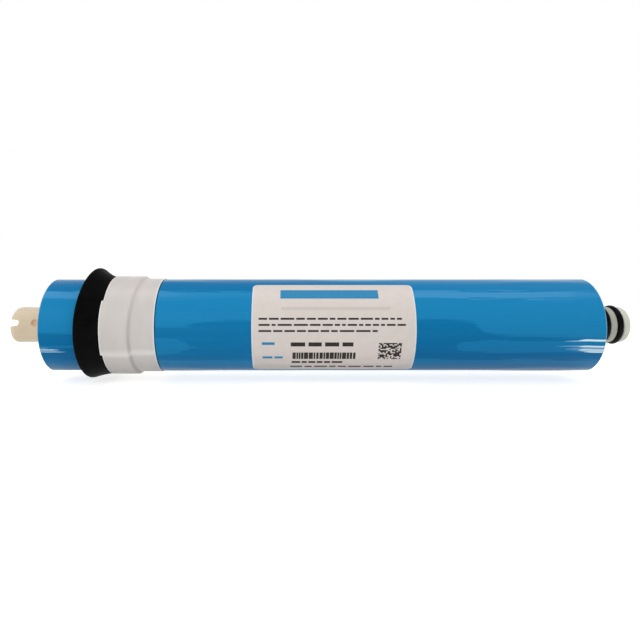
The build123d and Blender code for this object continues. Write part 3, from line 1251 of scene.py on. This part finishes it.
class ELEMENT_OT_wrap(bpy.types.Operator):
    """Build the blue film that binds the roll"""

    bl_idname = "element.wrap"
    bl_label = "Outer Wrap"

    def execute(self, context):
        wrap = context.scene.element.wrap
        ends = (wrap.bevel, wrap.edge, MARGIN)
        rows = [FEED + end for end in ends]
        rows += between(FEED + MARGIN, PERMEATE - MARGIN, FILM_ROWS)
        rows += [PERMEATE - end for end in reversed(ends)]

        def ripple(x, angle):
            """Depth of the film's slack below its tightest line, from 0 to 1."""
            drift = math.sin(TURN * x / LONG_DRIFT + 0.8) + 0.5 * math.sin(TURN * x / SHORT_DRIFT)
            long = math.sin(LONG_WAVES * angle + drift)
            short = math.sin(SHORT_WAVES * angle - 1.7 * drift + 1.0)
            return 0.5 - 0.3 * long - 0.2 * short

        def outline(angle):
            travel = (angle - wrap.lap_turn) / TURN
            outside = BODY_R - wrap.lap * (1 - travel)
            points = [(FEED, outside - wrap.bevel)]
            points += [(x, outside - wrap.ripple * ripple(x, angle)) for x in rows]
            points += [(PERMEATE, outside - wrap.bevel), (PERMEATE, ROLL_R), (FEED, ROLL_R)]
            return points

        angles = evenly(FILM_STEPS, wrap.lap_turn) + [wrap.lap_turn + TURN]
        mesh = revolve("wrap", outline, angles)
        finishes = [wrap_film(wrap), edge_highlight_film(wrap)]
        piece = settle("outer_wrap_film", mesh, finishes, ["outer_wrap"])
        # Faces at the cut ends take the painted highlight of the cut edge
        for face in piece.data.polygons:
            if not FEED + wrap.edge < face.center.x < PERMEATE - wrap.edge:
                face.material_index = 1
        return {"FINISHED"}


class ELEMENT_OT_seal(bpy.types.Operator):
    """Build the brine seal with its flared lip"""

    bl_idname = "element.seal"
    bl_label = "Brine Seal"

    def execute(self, context):
        seal = context.scene.element.seal
        collar_start = SEAL_HIGH.x - seal.collar_length
        collar_r = BODY_R + seal.collar
        root_x = collar_start - seal.root
        flank_rows, hollow_rows = 12, 8
        # Straight share of the outer flank, and power of the curve inside the lip
        straight, curl = 0.45, 1.5

        def outline(angle):
            top_r = SEAL_HIGH.z - seal.lift * math.sin(angle)
            top_x = SEAL_LOW.x + seal.rim_setback
            top_x += bowed(angle, seal.rim_shift, seal.rim_tilt, seal.rim_bow)
            front_r, front_x = top_r - seal.rim, top_x - seal.rim_lean
            end = collar_end(seal, angle)
            corners = [(end, BODY_R - SUNK, 0), (end, collar_r, seal.collar_rounding)]
            for step in range(flank_rows):
                share = step / flank_rows
                x = collar_start + seal.flank_start + (top_x - collar_start) * share
                rise = straight * share + (1 - straight) * share * share
                corners.append((x, collar_r + (top_r - collar_r) * rise, 0))
            corners += [
                (top_x, top_r, seal.outer_rounding),
                (front_x, front_r, seal.inner_rounding),
            ]
            for step in range(1, hollow_rows):
                share = step / hollow_rows
                fall = 1 - (1 - share) ** curl
                x = front_x + (root_x - top_x) * share
                corners.append((x, front_r - (front_r - BODY_R) * fall, 0))
            corners.append((root_x, BODY_R - SUNK, 0))
            return [tuple(point) for point in soften(corners, 4)]

        mesh = revolve("seal", outline, evenly(SEAL_STEPS))
        settle("brine_seal_rubber", mesh, [seal_rubber(seal)], ["brine_seal"])
        return {"FINISHED"}


class ELEMENT_OT_tape(bpy.types.Operator):
    """Build the tape over the seal's collar"""

    bl_idname = "element.tape"
    bl_label = "Seal Tape"

    def execute(self, context):
        tape = context.scene.element.tape
        seal = context.scene.element.seal
        collar_r = BODY_R + seal.collar
        left = TAPE_LOW.x + tape.tongue
        near_rows, collar_rows, ramp_rows, flat_rows = 3, 8, 10, 6
        bevelled = 0.3 * EDGE_ROW
        underlap = 0.05 * MM
        near_waves, far_waves, pucker_waves = 7, 3, 23
        # Radians over which the upper layer rises. Those from which, and over which, the painted
        # shade on the ramp grows downwards.
        lap_in = 0.4
        shade_start, shade_in = -0.6, 0.9

        # The rows stand close on both sides of the tongue's corners
        jog = math.radians(0.25)
        angles = evenly(FILM_STEPS, -math.pi)
        for corner in (tape.tongue_start, tape.tongue_end):
            angles = [a for a in angles if abs(a - corner) > 2 * jog] + [corner - jog, corner + jog]
        angles.sort()

        def past_lap(angle):
            """How far an angle lies past the free end, from 0 to 1."""
            return ease((angle - tape.lap_peak) / (tape.lap_end - tape.lap_peak))

        def outline(angle):
            start = left + tape.near_wander * math.sin(near_waves * angle)
            start += bowed(angle, tape.near_shift, tape.near_tilt, 0)
            if tape.tongue_start < angle < tape.tongue_end:
                start -= tape.tongue
            layer = ease((angle - tape.tongue_start) / lap_in) * (1 - past_lap(angle))
            step_x = collar_end(seal, angle) + tape.gap
            flat = step_x + tape.ramp
            end = TAPE_HIGH.x + tape.far_wander * (math.sin(far_waves * angle + 1) - 1)
            held = (left + MARGIN, step_x - MARGIN)
            columns = [start, start + bevelled, start + EDGE_ROW]
            columns += [held[0], *between(*held, collar_rows), held[1]]
            columns += [step_x, *between(step_x, flat, ramp_rows), flat]
            columns += [*between(flat, end - EDGE_ROW, flat_rows), end - EDGE_ROW]
            columns += [end - bevelled, end]
            top = []
            for x in columns:
                fall = ease((x - step_x) / tape.ramp)
                pucker = tape.pucker * 4 * fall * (1 - fall) * math.sin(pucker_waves * angle)
                radius = collar_r - seal.collar * fall + tape.thickness
                top.append((x, radius + tape.layer * layer + pucker))
            bevel = 0.4 * tape.thickness
            top[0] = (top[0][0], top[0][1] - bevel)
            top[-1] = (top[-1][0], top[-1][1] - bevel)
            inner = [
                (end, BODY_R - SUNK),
                (step_x + 2 * underlap, BODY_R - SUNK),
                (step_x, collar_r - underlap),
                (start, collar_r - underlap),
            ]
            return top + inner

        mesh = revolve("tape", outline, angles)
        columns = len(outline(0.0))
        # Columns along the two slit edges, on the upper face and below it
        slit = {0, 1, columns - 6, columns - 5, columns - 4, columns - 1}
        ramp_half = ramp_rows // 2
        ramp_middle = near_rows + collar_rows + 1 + ramp_half
        bright, ramp_shade = [], []
        for column in range(columns):
            on_ramp = max(0.0, 1 - abs(column - ramp_middle) / ramp_half)
            for angle in angles:
                # Painted highlight along the free end of the upper layer
                lift = ease((angle - tape.lap_highlight_start) / (tape.lap_peak - tape.lap_highlight_start))
                bright.append(1.0 if column in slit else 0.5 * lift * (1 - past_lap(angle)))
                # Painted shade on the ramp, growing downwards
                ramp_shade.append(on_ramp * ease((angle - shade_start) / shade_in))
        mark(mesh, "edge", bright)
        mark(mesh, "ramp_shade", ramp_shade)
        settle("seal_tape_band", mesh, [vinyl_tape(tape)], ["seal_tape"], crease=50)
        return {"FINISHED"}


class ELEMENT_OT_label(bpy.types.Operator):
    """Build the label with its round corners"""

    bl_idname = "element.label"
    bl_label = "Label"

    def execute(self, context):
        label = context.scene.element.label
        outer = BODY_R + label.thickness
        inner = BODY_R - SUNK
        corner, rim = label.corner, EDGE_ROW
        corner_rows, even_rows, even_columns = 10, 60, 24

        curve = [
            corner * (1 - math.cos(TURN / 4 * at / corner_rows)) for at in range(corner_rows + 1)
        ]
        rows = curve + [label.arc - at for at in curve] + [rim, label.arc - rim]
        rows = sorted(rows + between(corner, label.arc - corner, even_rows))

        def inset(arc):
            """How far a corner draws the label's end in, at a place across the label."""
            near = min(arc, label.arc - arc)
            if near >= corner:
                return 0.0
            return corner - math.sqrt(corner * corner - (corner - near) ** 2)

        rings, values = [], []
        for arc in rows:
            angle = label.turned + (arc - label.arc / 2) / outer
            start = LABEL_LOW.x + inset(arc)
            end = LABEL_HIGH.x - inset(arc)
            inside = between(start + rim, end - rim, even_columns)
            columns = [start, start + rim, *inside, end - rim, end]
            top = [on_body(x, outer, angle) for x in columns]
            bottom = [on_body(x, inner, angle) for x in reversed(columns)]
            rings.append(top + bottom)
            ends = arc in (rows[0], rows[-1])
            marks = [1.0] + [1.0 if ends else 0.0] * (len(columns) - 2) + [1.0]
            values += marks + marks
        mesh = skin("label", rings, capped=True)
        mark(mesh, "edge", values)
        settle("label_sticker", mesh, [coated_paper(label)], ["label"])
        return {"FINISHED"}


# Plain print on the label, in millimetres along X and round the body, from -Y downwards. A block
# has an ink, its left end, its middle, its width and its height. A line of bars has an ink, its
# two ends, its middle, its height, its shortest and longest bar and the gap between bars.
BLOCKS = (("blue", -19.0, -17.2, 45.2, 5.2), ("faint", -18.4, -9.5, 49.5, 1.6))
UPPER_LINES = (
    ("dark", -28.7, 36.0, -4.7, 0.85, 1.6, 6.5, 0.9),
    ("dark", -28.7, 39.5, -1.95, 0.85, 1.6, 6.5, 0.9),
    ("dark", -28.7, 25.0, 0.8, 0.85, 1.6, 6.5, 0.9),
    ("blue", -27.3, -20.0, 6.7, 1.3, 3.0, 7.0, 0.9),
    ("dark", -14.2, 16.4, 7.1, 2.0, 4.5, 11.0, 1.5),
    ("blue", -27.1, -17.4, 14.3, 1.3, 3.0, 5.0, 0.9),
)
LOWER_LINES = (
    ("dark", -13.8, 9.6, 17.5, 1.4, 2.0, 5.0, 0.7),
    ("dark", -14.5, 33.2, 21.3, 1.2, 2.0, 6.5, 1.1),
)

# Upright bars: their two ends, their middle, their height, and the widths and gaps to draw from
UPRIGHTS = (-13.4, 15.6, 13.3, 3.9, (0.8, 1.1, 1.5, 1.9), (0.25, 0.3, 0.4))

# Block of cells: its left end, its top, its width, the cells in a row, the height of a cell as a
# share of its width, and the share of the cells that is inked
CELLS = (25.7, 6.4, 10.4, 15, 0.86, 0.64)


class ELEMENT_OT_print(bpy.types.Operator):
    """Print plain bars and blocks on the label"""

    bl_idname = "element.print"
    bl_label = "Label Print"

    def execute(self, context):
        label = context.scene.element.label
        draw = random.Random(label.seed)
        inks = {"dark": [], "blue": [], "faint": []}

        def bar(ink, x, arc, width, height):
            """One bar of ink from its left end and middle height, in millimetres."""
            inks[ink].append(((x + width / 2, arc), (width, height)))

        def line(ink, x, end, arc, height, shortest, longest, gap):
            """A line of bars of random length, from one end to the other."""
            while x < end - shortest:
                width = min(draw.uniform(shortest, longest), end - x)
                bar(ink, x, arc, width, height)
                x += width + gap

        for block in BLOCKS:
            bar(*block)
        for one in UPPER_LINES:
            line(*one)
        x, end, arc, height, widths, gaps = UPRIGHTS
        while x < end:
            width = draw.choice(widths)
            bar("dark", x, arc, width, height)
            x += width + draw.choice(gaps)
        for one in LOWER_LINES:
            line(*one)
        left, top, across, cells, squat, inked = CELLS
        cell = across / cells
        for row in range(cells):
            for column in range(cells):
                if draw.random() < inked:
                    arc = top + (row + 0.5) * cell * squat
                    bar("dark", left + column * cell, arc, cell, cell * squat)

        tree = print_tree()
        for ink, title, shade in (
            ("dark", "Dark printing ink", label.ink_dark),
            ("blue", "Blue printing ink", label.ink_blue),
            ("faint", "Pale printing ink", label.ink_faint),
        ):
            finish = printing_ink(title, shade, label.colour)
            layout = bpy.data.meshes.new("layout")
            layout.from_pydata([(x * MM, arc * MM, 0) for (x, arc), size in inks[ink]], [], [])
            sizes = layout.attributes.new("bar", "FLOAT_VECTOR", "POINT")
            for point, (middle, (width, height)) in zip(sizes.data, inks[ink]):
                point.vector = (width * MM, height * MM, 2 * label.ink)
            radius = BODY_R + label.thickness
            mesh = grow(tree, {"Radius": radius, "Material": finish}, layout)
            settle(f"label_print_{ink}", mesh, [finish])
        return {"FINISHED"}


# Soft lights: name, place and size in metres, and power in watts
LAMPS = (
    ("overhead_softbox", (0.0, -0.1, 0.75), (1.2, 0.34), 1.9),
    ("front_softbox", (-0.45, -0.75, 0.22), (1.0, 0.8), 1.85),
)


class ELEMENT_OT_stage(bpy.types.Operator):
    """Set the pale floor, the soft lights and the camera"""

    bl_idname = "element.stage"
    bl_label = "Stage"

    def execute(self, context):
        stage = context.scene.element.stage
        scene = context.scene
        scene.view_settings.view_transform = "Standard"

        spokes = [Vector((math.cos(a), math.sin(a), 0)) for a in evenly(FLOOR_STEPS)]
        rings = [[Vector((0, 0, 0))]]
        for share in (0.25, 0.5, 0.75, 1.0):
            rings.append([spoke * stage.floor_r * share for spoke in spokes])
        mesh = skin("floor", rings)
        mesh.materials.append(floor_paper(stage))
        floor = bpy.data.objects.new("floor", mesh)
        floor.location.z = CAD_BOX[0].z
        scene.collection.objects.link(floor)

        world = bpy.data.worlds.new("Studio")
        world.use_nodes = True
        tree = world.node_tree
        way = add(tree, "ShaderNodeTexCoord").outputs["Generated"]
        sides = add(tree, "ShaderNodeSeparateXYZ", {"Vector": way}).outputs
        # The camera sees white all round. The gloss shows a white wall behind the element, and
        # a room and a ceiling that are dimmer
        behind, below = (
            add(
                tree,
                "ShaderNodeMapRange",
                {"Value": sides[side], "From Min": start, "From Max": full},
            )
            for side, start, full in (("Y", 0.0, 0.4), ("Z", 0.7, 0.5))
        )
        wall = add(tree, "ShaderNodeMath", {0: behind, 1: below}, operation="MULTIPLY")
        lit = add(tree, "ShaderNodeMapRange", {"Value": wall, "To Min": stage.room, "To Max": 1.0})
        direct = add(tree, "ShaderNodeLightPath").outputs["Is Camera Ray"]
        shown = add(tree, "ShaderNodeMath", {0: lit, 1: direct}, operation="MAXIMUM")
        glow = add(tree, "ShaderNodeMix", {0: seen(tree), 2: stage.ambient, 3: shown})
        fill(tree, tree.nodes["Background"], {"Strength": glow, "Color": WHITE})
        scene.world = world

        for name, place, size, power in LAMPS:
            lamp = bpy.data.lights.new(name, "AREA")
            lamp.shape = "RECTANGLE"
            lamp.size, lamp.size_y = size
            lamp.energy = power
            light = bpy.data.objects.new(name, lamp)
            light.location = place
            light.rotation_euler = (-Vector(place)).to_track_quat("-Z", "Y").to_euler()
            scene.collection.objects.link(light)

        camera = bpy.data.objects.new("camera", bpy.data.cameras.new("camera"))
        camera.location = stage.eye
        camera.rotation_euler = (TURN / 4, 0, 0)
        camera.data.lens = stage.lens
        camera.data.shift_x, camera.data.shift_y = stage.shift
        camera.data.clip_start = 0.01
        scene.collection.objects.link(camera)
        scene.camera = camera
        return {"FINISHED"}


class ELEMENT_PT_sidebar(bpy.types.Panel):
    """Buttons that build the element, piece by piece"""

    bl_idname = "ELEMENT_PT_sidebar"
    bl_label = "Membrane Element"
    bl_space_type = "VIEW_3D"
    bl_region_type = "UI"
    bl_category = "Element"

    def draw(self, context):
        for operator in OPERATORS:
            self.layout.operator(operator.bl_idname)


OPERATORS = (
    ELEMENT_OT_tube,
    ELEMENT_OT_o_rings,
    ELEMENT_OT_roll,
    ELEMENT_OT_wrap,
    ELEMENT_OT_seal,
    ELEMENT_OT_tape,
    ELEMENT_OT_label,
    ELEMENT_OT_print,
    ELEMENT_OT_stage,
)

CLASSES = (
    TubeSettings,
    RingSettings,
    RollSettings,
    WrapSettings,
    SealSettings,
    TapeSettings,
    LabelSettings,
    StageSettings,
    ElementSettings,
    *OPERATORS,
    ELEMENT_PT_sidebar,
)


def register():
    for one in CLASSES:
        bpy.utils.register_class(one)
    bpy.types.Scene.element = PointerProperty(type=ElementSettings)


def unregister():
    del bpy.types.Scene.element
    for one in reversed(CLASSES):
        bpy.utils.unregister_class(one)


def main():
    register()
    bpy.ops.element.tube()
    bpy.ops.element.o_rings()
    bpy.ops.element.roll()
    bpy.ops.element.wrap()
    bpy.ops.element.seal()
    bpy.ops.element.tape()
    bpy.ops.element.label()
    bpy.ops.element.print()
    bpy.ops.element.stage()


if __name__ == "__main__":
    main()
